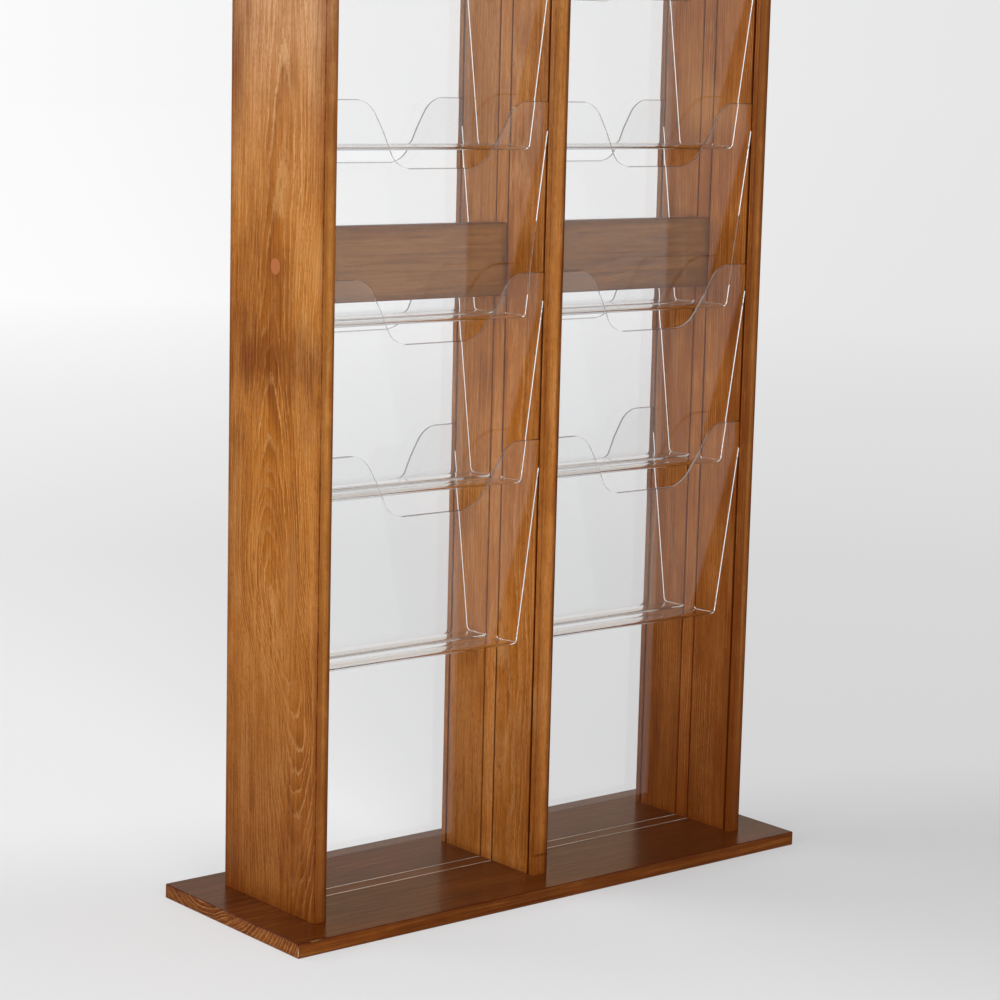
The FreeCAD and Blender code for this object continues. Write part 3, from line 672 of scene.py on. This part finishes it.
@dataclass(frozen=True)
class WoodFinish:
    """Stained hardwood under satin lacquer. Colours are linear."""

    light: Colour = (0.52, 0.245, 0.074)
    middle: Colour = (0.365, 0.120, 0.012)
    dark: Colour = (0.130, 0.027, 0.002)
    # Colour of dirt spots and of the painted shade at and beyond the slots.
    grime: Colour = (0.070, 0.012, 0.001)
    # Colour of the dark lines along the arrises and of the painted shade inside the slots.
    edge_line_and_groove_shade: Colour = (0.075, 0.007, 0.001)
    bare: Colour = (0.62, 0.42, 0.24)
    # Colour of the painted glint on the base's kerf lips.
    shine: Colour = (0.90, 0.86, 0.78)
    # Colours that a board's top moves to: a paler set is a painted sheen, a darker set is painted shade.
    painted_top_light: Colour = (0.66, 0.46, 0.30)
    painted_top: Colour = (0.51, 0.325, 0.195)
    painted_top_dark: Colour = (0.25, 0.12, 0.05)
    tone: float = 0.52
    ring_width: float = 0.0036
    core: float = 0.026
    warp: float = 0.020
    ring_strength: float = 0.80
    streak_strength: float = 0.68
    blotch_strength: float = 1.0
    fleck_strength: float = 0.56
    face_stain: Colour | None = None
    face_rings: float = 1.0
    roughness: float = 0.38
    specular: float = 0.05
    face_coat: float = 0.0
    coat_roughness: float = 0.27
    edge_width: float = 0.0015
    edge_strength: float = 0.90
    edge_stain: float = 0.38
    stain_reach: float = 0.011
    foot_shade: float = 0.0
    painted_top_share: float = 0.0
    painted_top_from: float = 0.85
    painted_top_to: float = 1.35
    narrow_painted_light: float = 0.0
    end_rings: float = 1.0
    calm_above: float = 9.0
    slot_lip: float = 0.85
    lip_width: float = 0.0006
    lip_mark: Mark = Mark.DIRT
    far_lips_only: bool = False
    slot_painted_shade: float = 0.0
    bump: float = 0.10

    SKIN = (0.0012, 0.0002)
    SIDE_SKIN = (0.0004, 0.002)
    SIDE_RINGS = 0.15
    CALM_BAND, CALM_RINGS = 0.10, 0.85
    NARROW_RISE = (-0.30, 0.20)
    FOOT = (0.60, 0.0)
    SLOT_PAINTED_SHADE = 0.95
    SLOT_SIDE = (0.0, 0.001)
    GRAIN_SHEEN = -0.06
    GRAIN_RELIEF = 0.0003

    def material(self, name: str, grain: Grain, low: Vector, high: Vector, figure: Figure,
                 marks: tuple[Spot, ...] = (),
                 slots: tuple[Slot, ...] = ()) -> bpy.types.Material:
        """Build the material of one board.

        Args:
            name: the material's name.
            grain: how the board's grain runs.
            low: lowest corner of the board.
            high: highest corner of the board.
            figure: how the board was cut.
            marks: knots, gathered stain, dirt, wear and painted shadow.
            slots: the board's slots.

        Returns:
            The material.
        """
        made, graph, shader = new_material(name)
        place = graph.place()
        rise = graph.split(place)["Z"]
        half = (high - low) / 2
        centred = graph.split(graph.vector("SUBTRACT", place, tuple((low + high) / 2)))
        across, through, along = (centred[axis] for axis in grain.value)
        board = graph.join(across, through, along)
        from_side, depth, from_end = (
            graph.minus(half[AXES.index(axis)], graph.unsigned(centred[axis])) for axis in grain.value)
        on_face = graph.step(depth, *self.SKIN)
        rings = graph.step(from_side, *self.SIDE_SKIN, self.SIDE_RINGS * self.ring_strength,
                           self.ring_strength)
        for share in (graph.ramp(on_face, 0.0, 1.0, 1.0, self.face_rings),
                      graph.step(from_end, *self.SKIN, 1.0, self.end_rings),
                      graph.step(rise, self.calm_above, self.calm_above + self.CALM_BAND, 1.0,
                                 self.CALM_RINGS)):
            rings = graph.times(rings, share)
        tones = {"Light": self.light, "Middle": self.middle, "Dark": self.dark}
        # Towards the top the palette moves to the painted top colours: painted sheen on the left
        # upright, painted shade on the centre one.
        if self.painted_top_share:
            painted_top_mix = graph.step(rise, self.painted_top_from, self.painted_top_to, 0.0, self.painted_top_share)
            for tone, painted_top in zip(tones, (self.painted_top_light, self.painted_top, self.painted_top_dark)):
                tones[tone] = graph.mix(painted_top_mix, tones[tone], painted_top)
        wood = graph.group(
            StainedGrain, Vector=graph.vector("SUBTRACT", board, figure.pith), Seed=figure.seed,
            Ring_Width=self.ring_width, Taper=figure.taper, Core=self.core, Phase=figure.phase,
            Drift_Below=figure.drift_below, Drift_Above=figure.drift_above, Warp=self.warp,
            Tone=self.tone, Ring_Strength=rings, Streak_Strength=self.streak_strength,
            Blotch_Strength=self.blotch_strength, Fleck_Strength=self.fleck_strength, **tones)
        colour = wood["Color"]
        if self.face_stain:
            colour = graph.mix(on_face, colour, graph.tinted(colour, self.face_stain))
        # Painted light on the narrow faces, weaker towards the foot.
        if self.narrow_painted_light:
            lit = graph.step(rise, *self.NARROW_RISE, 0.0, self.narrow_painted_light)
            colour = graph.lay(colour, graph.minus(1.0, on_face), lit, self.light)
        if self.foot_shade:
            deeper = tuple(dark / plain for dark, plain in zip(self.dark, self.middle))
            colour = graph.mix(graph.step(rise, *self.FOOT, 0.0, self.foot_shade), colour,
                               graph.tinted(colour, deeper))
        edge, soaked = (graph.group(ArrisShade, Vector=place, Low=tuple(low), High=tuple(high),
                                    Width=width)["Edge"]
                        for width in (self.edge_width, self.stain_reach))
        colour = graph.lay(colour, soaked, self.edge_stain, self.dark)
        colour = graph.lay(colour, edge, self.edge_strength, self.edge_line_and_groove_shade)
        lips = []
        for slot in slots:
            shade = graph.group(SlotShade, Across=across, Depth=depth, Along=along, Slot=slot.inset,
                                Half_Width=slot.half_width, Half_Length=slot.half_length,
                                Lip_Width=self.lip_width, Far_Lips_Only=float(self.far_lips_only))
            # Painted shade on the slots' inner walls.
            colour = graph.lay(colour, shade["Inside"], self.SLOT_PAINTED_SHADE, self.edge_line_and_groove_shade)
            # Painted shade in a band beyond each slot.
            if self.slot_painted_shade:
                colour = graph.lay(colour, shade["Grime"], self.slot_painted_shade, self.grime)
            # Each slot's lip: painted shade on the uprights, a painted glint on the base.
            lip = graph.times(shade["Lip"], self.slot_lip)
            if slot.side:
                towards = graph.times(through, float(slot.side))
                lip = graph.times(lip, graph.step(towards, *self.SLOT_SIDE))
            colour = graph.mix(lip, colour, getattr(self, self.lip_mark.value))
            lips.append(lip)
        for spot in marks:
            mask = graph.group(StainSpot, Vector=place, Grain_Vector=board, Centre=spot.centre,
                               Reach=spot.reach, Ragged=spot.ragged)["Mask"]
            colour = graph.lay(colour, mask, spot.strength, getattr(self, spot.mark.value))
        if self.face_coat:
            gloss = graph.times(graph.times(on_face, self.face_coat), graph.minus(1.0, edge))
            for lip in lips:
                gloss = graph.larger(gloss, lip)
            graph.fill(shader, Coat_Weight=gloss, Coat_Roughness=self.coat_roughness)
        relief = graph.fill(graph.add("ShaderNodeBump"), Strength=self.bump,
                            Distance=self.GRAIN_RELIEF, Height=wood["Height"])
        graph.fill(shader, Base_Color=colour, Specular_IOR_Level=self.specular, Normal=relief[0],
                   Roughness=graph.scaled(wood["Height"], self.GRAIN_SHEEN, self.roughness))
        return made


@dataclass(frozen=True)
class ClearFinish:
    """Clear polished sheet that lets lamps through."""

    tint: Colour = (0.997, 0.998, 0.998)
    through_tint: Colour = (0.955, 0.96, 0.96)
    cut_tint: Colour = (0.30, 0.26, 0.24)
    side_tint: Colour = (0.95, 0.95, 0.95)
    bend_tint: Colour = (0.50, 0.46, 0.46)
    bend_clear: float = 0.70
    index: float = 1.41
    smear: float = 0.035
    cut_roughness: float = 0.15
    mirrorings: int = 2
    gap_tint: Colour = (0.05, 0.042, 0.036)
    line_tint: Colour = (0.52, 0.49, 0.47)
    line: float = 0.0012
    lowest: float = 0.325
    pitch: float = 0.217
    scoop_level: float = 0.1965
    scoop_half: float = 0.046
    bay_centre: float = 0.18125
    lip_level: float = 0.063
    lip_face: float = 0.0878

    ABOVE_FLOOR = (0.012, 0.020)
    LEVEL = (0.90, 0.97)
    TURNED = (0.06, 0.18)
    SQUARE = (0.96, 0.99)
    SAWN = Noise((30.0, 30.0, 210.0), 1.0)
    SAWN_STEP = (0.49, 0.58)
    LINE_OUTER, LINE_INNER = 0.65, 0.40
    SCOOP_SOFTNESS = 0.006
    FRONT_STARTS, FRONT_ENDS = 0.020, 0.015
    LIP_SKIN = 0.0008

    def material(self, name: str) -> bpy.types.Material:
        """Build the material of the clear pieces.

        Args:
            name: the material's name.

        Returns:
            The material.
        """
        made, graph, shader = new_material(name)
        place = graph.place()
        parts = graph.split(place)
        tiers = graph.math("DIVIDE", graph.minus(parts["Z"], self.lowest), self.pitch)
        rise = graph.times(graph.math("FRACT", tiers), self.pitch)
        normal = graph.split(graph.add("ShaderNodeNewGeometry").outputs["Normal"])
        facing = graph.unsigned(normal["X"])
        level_cut = graph.times(graph.step(graph.unsigned(normal["Z"]), *self.LEVEL),
                                graph.step(rise, *self.ABOVE_FLOOR))
        cut = graph.larger(graph.step(facing, *self.TURNED), level_cut)
        side = graph.step(facing, *self.SQUARE)
        bend = graph.minus(cut, side)
        sawn = graph.step(graph.noise(place, self.SAWN), *self.SAWN_STEP)
        edge = graph.mix(side, self.cut_tint, graph.mix(sawn, self.gap_tint, self.side_tint))
        plain = graph.mix(self.rims(graph, parts, rise), self.tint, self.line_tint)
        smear = graph.group(HandlingMarks, Vector=place, Scale=1.0)["Smear"]
        rough = graph.scaled(bend, self.cut_roughness, graph.times(smear, self.smear))
        graph.fill(shader, Base_Color=graph.mix(cut, plain, edge), Roughness=rough,
                   Transmission_Weight=1.0, IOR=self.index)
        open_way = graph.fill(graph.add("ShaderNodeBsdfTransparent"),
                              Color=graph.mix(bend, self.through_tint, self.bend_tint))
        path = graph.light_path()
        spent = graph.math("GREATER_THAN", path["Glossy Depth"], self.mirrorings + 0.5)
        straight = graph.larger(graph.larger(path["Is Shadow Ray"], spent),
                                graph.times(bend, self.bend_clear))
        graph.show("Material Output", straight, shader.outputs[0], open_way[0])
        return made

    def rims(self, graph: Graph, parts: Sockets, rise: Socket) -> Socket:
        """Find the thin rims below the level edges of the scoop and the lip, which look dark.

        Args:
            graph: the material's tree.
            parts: the three parts of the place.
            rise: the height above the underside of the tier.

        Returns:
            The mask.
        """
        scoop_line, lip_line = (
            graph.step(graph.unsigned(graph.minus(rise, level - self.line / 2)),
                       self.line * self.LINE_OUTER, self.line * self.LINE_INNER)
            for level in (self.scoop_level, self.lip_level))
        outward = graph.unsigned(parts["Y"])
        across = graph.unsigned(graph.minus(graph.unsigned(parts["X"]), self.bay_centre))
        in_scoop = graph.step(across, self.scoop_half + self.SCOOP_SOFTNESS, self.scoop_half)
        front = graph.step(outward, self.lip_face - self.FRONT_STARTS, self.lip_face - self.FRONT_ENDS)
        on_lip = graph.step(outward, self.lip_face - self.LIP_SKIN, self.lip_face)
        return graph.larger(graph.times(graph.times(in_scoop, front), scoop_line),
                            graph.times(on_lip, lip_line))


def dress(node: str, material: bpy.types.Material) -> None:
    """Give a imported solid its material.

    Args:
        node: the solid's name.
        material: what all of it gets.
    """
    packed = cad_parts[node]
    if not packed.material_slots:
        packed.data.materials.append(material)
    for slot in packed.material_slots:
        slot.material = material
    LOG.info("dressed %s with %s", node, material.name)


def dress_board(node: str, finish: WoodFinish, grain: Grain, figure: Figure,
                marks: tuple[Spot, ...] = (), slots: tuple[Slot, ...] = ()) -> None:
    """Give a packed board its own wood."""
    dress(node, finish.material(f"{node}_wood", grain, *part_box(node), figure, marks, slots))


def clear_sheet_slots(half_length: float, side: int) -> tuple[Slot, Slot]:
    """Find the slots that clear sheet runs in.

    Args:
        half_length: how far the slots run from the middle of their board.
        side: which face of the board has them.

    Returns:
        The inner and the outer pair of slots.
    """
    panel_low, panel_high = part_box("rear_left_lower_panel")
    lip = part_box("rear_left_pocket_1")[1].y
    half_sheet = (panel_high.y - panel_low.y) / 2
    half_width = half_sheet + SLOT_CLEARANCE
    return (Slot(panel_low.y + half_sheet, half_width, half_length, side),
            Slot(lip - half_sheet, half_width, half_length, side))


@dataclass(frozen=True)
class Upright:
    """One grooved board: its name, grooved face as in Slot, figure, finish and spots."""

    node: str
    grooved: int
    figure: Figure
    finish: WoodFinish
    marks: tuple[Spot, ...]


@dataclass
class Uprights:
    """The three grooved boards that stand on the base."""

    boards: tuple[Upright, ...] = (
        Upright(
            "left_upright", 1,
            Figure((0.008, 0.012, -0.489), (0.0, 0.0, 0.0), 0.21, -0.062, -0.020, 0.4),
            # The left upright's paler top is a painted sheen.
            WoodFinish(tone=0.56, foot_shade=0.58, painted_top_share=0.50, narrow_painted_light=0.26,
                       ring_strength=1.05, blotch_strength=1.15, calm_above=0.96,
                       streak_strength=0.90, painted_top_light=(0.72, 0.51, 0.35),
                       painted_top_dark=(0.19, 0.085, 0.033)),
            LEFT_UPRIGHT_SPOTS),
        Upright(
            "centre_upright", 0, Figure((-0.030, 0.060, 0.10), (3.7, 1.2, 5.1), 0.03),
            # The centre upright's darker top is painted shade.
            WoodFinish(tone=0.56, light=(0.60, 0.285, 0.100), middle=(0.440, 0.145, 0.018),
                       painted_top_share=0.34, painted_top_from=0.40, painted_top_to=1.20, painted_top_light=(0.26, 0.10, 0.030),
                       painted_top=(0.17, 0.058, 0.012), painted_top_dark=(0.06, 0.012, 0.001),
                       foot_shade=0.34, narrow_painted_light=0.14, edge_strength=0.55, edge_stain=0.30,
                       streak_strength=0.80),
            CENTRE_UPRIGHT_SPOTS),
        Upright(
            "right_upright", -1, Figure((0.130, 0.020, 0.40), (8.2, 4.4, 2.3)),
            WoodFinish(tone=0.45, middle=(0.300, 0.090, 0.012), edge_strength=0.70,
                       foot_shade=0.58, narrow_painted_light=0.22),
            RIGHT_UPRIGHT_SPOTS),
    )

    def build(self) -> None:
        """Dress the three boards."""
        for board in self.boards:
            low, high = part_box(board.node)
            dress_board(board.node, board.finish, Grain.UPRIGHT, board.figure, board.marks,
                        clear_sheet_slots(high.z - low.z, board.grooved))


@dataclass
class Boards:
    """The base board and the top board."""

    base: WoodFinish = WoodFinish(
        tone=0.42, light=(0.40, 0.165, 0.045), middle=(0.200, 0.055, 0.008),
        dark=(0.060, 0.012, 0.001), ring_width=0.0058, streak_strength=1.0, blotch_strength=0.6,
        fleck_strength=0.12, face_stain=(0.60, 0.49, 0.34), face_rings=0.25, end_rings=1.8,
        roughness=0.34, face_coat=0.62, coat_roughness=0.21, bump=0.0, edge_stain=0.2,
        # The kerf lips get a painted glint.
        slot_lip=0.9, slot_painted_shade=0.45, lip_width=0.0007, lip_mark=Mark.SHINE, far_lips_only=True)
    base_figure: Figure = Figure((0.05, 0.07, 0.0), (2.0, 6.0, 1.0))
    top: WoodFinish = WoodFinish()
    top_figure: Figure = Figure((0.01, 0.07, 0.0), (5.0, 2.0, 9.0))

    def build(self) -> None:
        """Dress the two boards."""
        kerfs = clear_sheet_slots(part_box("front_right_lower_panel")[1].x, 1)[:1]
        dress_board("base_board", self.base, Grain.LENGTHWISE_FLAT, self.base_figure, BASE_SPOTS,
                    kerfs)
        dress_board("top_board", self.top, Grain.LENGTHWISE_FLAT, self.top_figure)


@dataclass
class Rails:
    """The two rails, their plugs and the dowels between them."""

    finish: WoodFinish = WoodFinish(
        tone=0.52, light=(0.30, 0.140, 0.040), middle=(0.205, 0.074, 0.009),
        dark=(0.065, 0.018, 0.001), ring_strength=0.34, streak_strength=0.95,
        blotch_strength=0.35, fleck_strength=0.48)
    right_tone: float = 0.41
    left_knots: tuple[Spot, ...] = spots((-18, -11, 832, 5, 10, 6, 0.9, 0.6))
    right_knots: tuple[Spot, ...] = spots((270, -11, 852, 7, 10, 3, 0.7, 0.8))
    plug: WoodFinish = WoodFinish(
        light=(0.42, 0.155, 0.068), middle=(0.375, 0.118, 0.040), ring_strength=0.0,
        streak_strength=0.2, blotch_strength=0.1, fleck_strength=0.1, edge_strength=0.0,
        edge_stain=0.0)
    dowel: WoodFinish = WoodFinish(
        light=(0.72, 0.55, 0.36), middle=(0.62, 0.45, 0.27), dark=(0.45, 0.30, 0.17),
        edge_strength=0.0, edge_stain=0.0)
    rail_pith: Triple = (0.02, 0.10, 0.0)
    small_figure: Figure = Figure((0.0, 0.05, 0.0), (4.0, 4.0, 4.0))

    def build(self) -> None:
        """Dress the rails, plugs and dowels."""
        darker = replace(self.finish, tone=self.right_tone)
        for node, finish, seed, knots in (
                ("left_rail", self.finish, (1.0, 3.0, 7.0), self.left_knots),
                ("right_rail", darker, (6.0, 8.0, 4.0), self.right_knots)):
            dress_board(node, finish, Grain.LENGTHWISE_EDGE_ON, Figure(self.rail_pith, seed), knots)
        for node, finish in (("rail_plugs", self.plug), ("rail_dowels", self.dowel)):
            dress_board(node, finish, Grain.LENGTHWISE_EDGE_ON, self.small_figure)


@dataclass
class ClearPieces:
    """The pockets and the plain panels above and below them."""

    finish: ClearFinish = ClearFinish()

    def build(self) -> None:
        """Dress every clear node."""
        material = self.finish.material("clear_sheet")
        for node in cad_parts:
            if "pocket" in node or "panel" in node:
                dress(node, material)


@dataclass(frozen=True)
class SoftLamp:
    """A square lamp that points at the middle of the rack."""

    name: str
    place: Triple
    size: float
    power: float

    def build(self, target: Vector) -> None:
        """Hang the lamp and point it at a target.

        Args:
            target: the point that it lights.
        """
        place = Vector(self.place)
        turn = (place - target).to_track_quat("Z", "Y").to_euler()
        bpy.ops.object.light_add(type="AREA", location=place, rotation=turn)
        lamp = bpy.context.object
        lamp.name = self.name
        lamp.data.energy = self.power
        lamp.data.size = self.size
        lamp.visible_camera = False
        lamp.visible_transmission = False


@dataclass
class Studio:
    """Floor, lights, background and camera."""

    floor_size: float = 80.0
    floor_colour: Colour = (0.80, 0.80, 0.805)
    floor_roughness: float = 0.9
    floor_specular: float = 0.1
    front_glow: float = 0.42
    rear_glow: float = 0.80
    forward: Triple = (-0.35, -1.0, 0.0)
    glow_turns: Limits = (-0.45, 0.10)
    glow_grows: Limits = (0.7, 3.5)
    near_tones: Limits = (0.915, 0.73)
    middle_tones: Limits = (0.835, 0.70)
    far_tones: Limits = (0.985, 0.79)
    blue_lift: float = 0.005
    floor_sideways: Limits = (-0.1, 0.85)
    far_sideways: Limits = (0.38, 0.82)
    middle_reach: Limits = (1.0, 3.2)
    far_reach: Limits = (2.4, 8.5)
    sheet_gain: float = 0.035
    mirrored_ceiling: Colour = (0.41, 0.255, 0.12)
    bent_ceiling: Colour = (0.285, 0.280, 0.275)
    ceiling_rise: Limits = (0.10, 0.26)
    bent_rise: Limits = (0.36, 0.50)
    ahead: Triple = (0.637, 0.771, 0.0)
    behind: Limits = (-0.35, -0.75)
    mirrored_share: float = 0.6
    world_colour: Colour = (1.0, 1.0, 1.0)
    world_strength: float = 0.40
    lamps: tuple[SoftLamp, ...] = (
        SoftLamp("left_softbox", (-2.9, -0.35, 1.15), 1.6, 32.0),
        SoftLamp("front_softbox", (-1.25, -2.45, 1.10), 1.4, 43.0),
        SoftLamp("rear_softbox", (-2.4, 2.7, 1.9), 1.6, 22.0),
    )
    aim: Triple = (0.0, 0.0, 0.75)
    camera_place: Triple = (-2.2774, -2.7522, 1.0967)
    azimuth: float = 39.581
    pitch: float = 9.314
    roll: float = 1.411
    lens: float = 97.85
    sensor: float = 36.0

    def build(self) -> None:
        """Build the stage, the lamps, the world and the camera."""
        self.build_floor()
        self.build_world()
        for lamp in self.lamps:
            lamp.build(Vector(self.aim))
        self.build_camera()

    def tone(self, graph: Graph, share: Socket, tones: Limits) -> Socket:
        """Return a grey between a left and a right tone."""
        left, right = ((tone, tone, min(1.0, tone + self.blue_lift)) for tone in tones)
        return graph.mix(share, left, right)

    def backdrop(self, graph: Graph, level: Socket) -> Socket:
        """Return the far background, darker to the right, in a level direction of length 1."""
        return self.tone(graph, graph.step(graph.split(level)["X"], *self.far_sideways), self.far_tones)

    def seen(self, graph: Graph) -> Socket:
        """Find how far a ray sees the background: straight, mirrored or through clear sheet.

        Args:
            graph: the tree that the nodes go into.

        Returns:
            The share, from 0 to 1.
        """
        path = graph.light_path()
        mirrored = graph.times(path["Is Glossy Ray"], self.mirrored_share)
        seen = graph.larger(path["Is Camera Ray"], mirrored)
        return graph.larger(seen, path["Is Transmission Ray"])

    def strength(self, graph: Graph) -> Socket:
        """Return the background's strength, a little higher through clear sheet."""
        return graph.scaled(graph.light_path()["Is Transmission Ray"], self.sheet_gain, 1.0)

    def build_floor(self) -> None:
        """Build a wide pale floor that fades into the background far from the rack."""
        bpy.ops.mesh.primitive_plane_add(size=self.floor_size)
        floor = bpy.context.object
        floor.name = "studio_floor"
        made, graph, shader = new_material("pale_floor")
        graph.fill(shader, Base_Color=self.floor_colour, Roughness=self.floor_roughness,
                   Specular_IOR_Level=self.floor_specular)
        place = graph.place()
        level = graph.vector("NORMALIZE", place)
        away = graph.vector("LENGTH", place)
        sideways = graph.step(graph.split(level)["X"], *self.floor_sideways)
        shown = graph.mix(graph.step(away, *self.middle_reach),
                          self.tone(graph, sideways, self.near_tones),
                          self.tone(graph, sideways, self.middle_tones))
        shown = graph.mix(graph.ramp(away, *self.far_reach), shown, self.backdrop(graph, level))
        glow = graph.fill(graph.add("ShaderNodeEmission"), Color=shown, Strength=self.strength(graph))
        forward = graph.vector("DOT_PRODUCT", place, self.forward)
        near_glow = graph.step(forward, *self.glow_turns, self.rear_glow, self.front_glow)
        share = graph.step(away, *self.glow_grows, near_glow)
        graph.show("Material Output", graph.times(share, self.seen(graph)), shader.outputs[0], glow[0])
        floor.data.materials.append(made)

    def build_world(self) -> None:
        """Light the rack evenly and show the background to the camera."""
        world = bpy.data.worlds.new("studio")
        bpy.context.scene.world = world
        world.use_nodes = True
        graph = Graph(world.node_tree)
        light = graph.fill(world.node_tree.nodes["Background"], Color=self.world_colour,
                           Strength=self.world_strength)
        direction = graph.add("ShaderNodeTexCoord").outputs["Generated"]
        height = graph.split(direction)["Z"]
        level = graph.vector("NORMALIZE", graph.vector("MULTIPLY", direction, (1.0, 1.0, 0.0)))
        path = graph.light_path()
        through = path["Is Transmission Ray"]
        bent = graph.larger(path["Is Glossy Ray"], through)
        behind = graph.step(graph.vector("DOT_PRODUCT", level, self.ahead), *self.behind)
        ceiling = graph.lay(self.mirrored_ceiling, through, graph.step(height, *self.bent_rise),
                            self.bent_ceiling)
        colour = graph.lay(self.backdrop(graph, level), bent, graph.step(height, *self.ceiling_rise),
                           ceiling)
        colour = graph.lay(colour, bent, behind, self.mirrored_ceiling)
        shown = graph.fill(graph.add("ShaderNodeBackground"), Color=colour,
                           Strength=self.strength(graph))
        graph.show("World Output", self.seen(graph), light[0], shown[0])

    def build_camera(self) -> None:
        """Set the camera, a long lens that looks down a little from the front left."""
        azimuth, pitch, roll = (math.radians(angle) for angle in (self.azimuth, self.pitch, self.roll))
        ahead = Vector((math.sin(azimuth) * math.cos(pitch), math.cos(azimuth) * math.cos(pitch),
                        -math.sin(pitch)))
        right = ahead.cross(Vector((0.0, 0.0, 1.0))).normalized()
        up = right.cross(ahead)
        tilted = right * math.cos(roll) + up * math.sin(roll)
        upright = up * math.cos(roll) - right * math.sin(roll)
        bpy.ops.object.camera_add()
        camera = bpy.context.object
        camera.name = "camera"
        turn = Matrix((tilted, upright, -ahead)).transposed()
        camera.matrix_world = Matrix.Translation(self.camera_place) @ turn.to_4x4()
        camera.data.lens = self.lens
        camera.data.sensor_width = self.sensor
        bpy.context.scene.camera = camera


def main() -> None:
    """Build the rack's looks and the studio round it."""
    logging.basicConfig(level=logging.INFO, format="%(name)s: %(message)s")
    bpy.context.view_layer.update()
    bpy.context.scene.view_settings.view_transform = "Standard"
    for assembly in (Uprights(), Boards(), Rails(), ClearPieces(), Studio()):
        assembly.build()


if __name__ == "__main__":
    main()
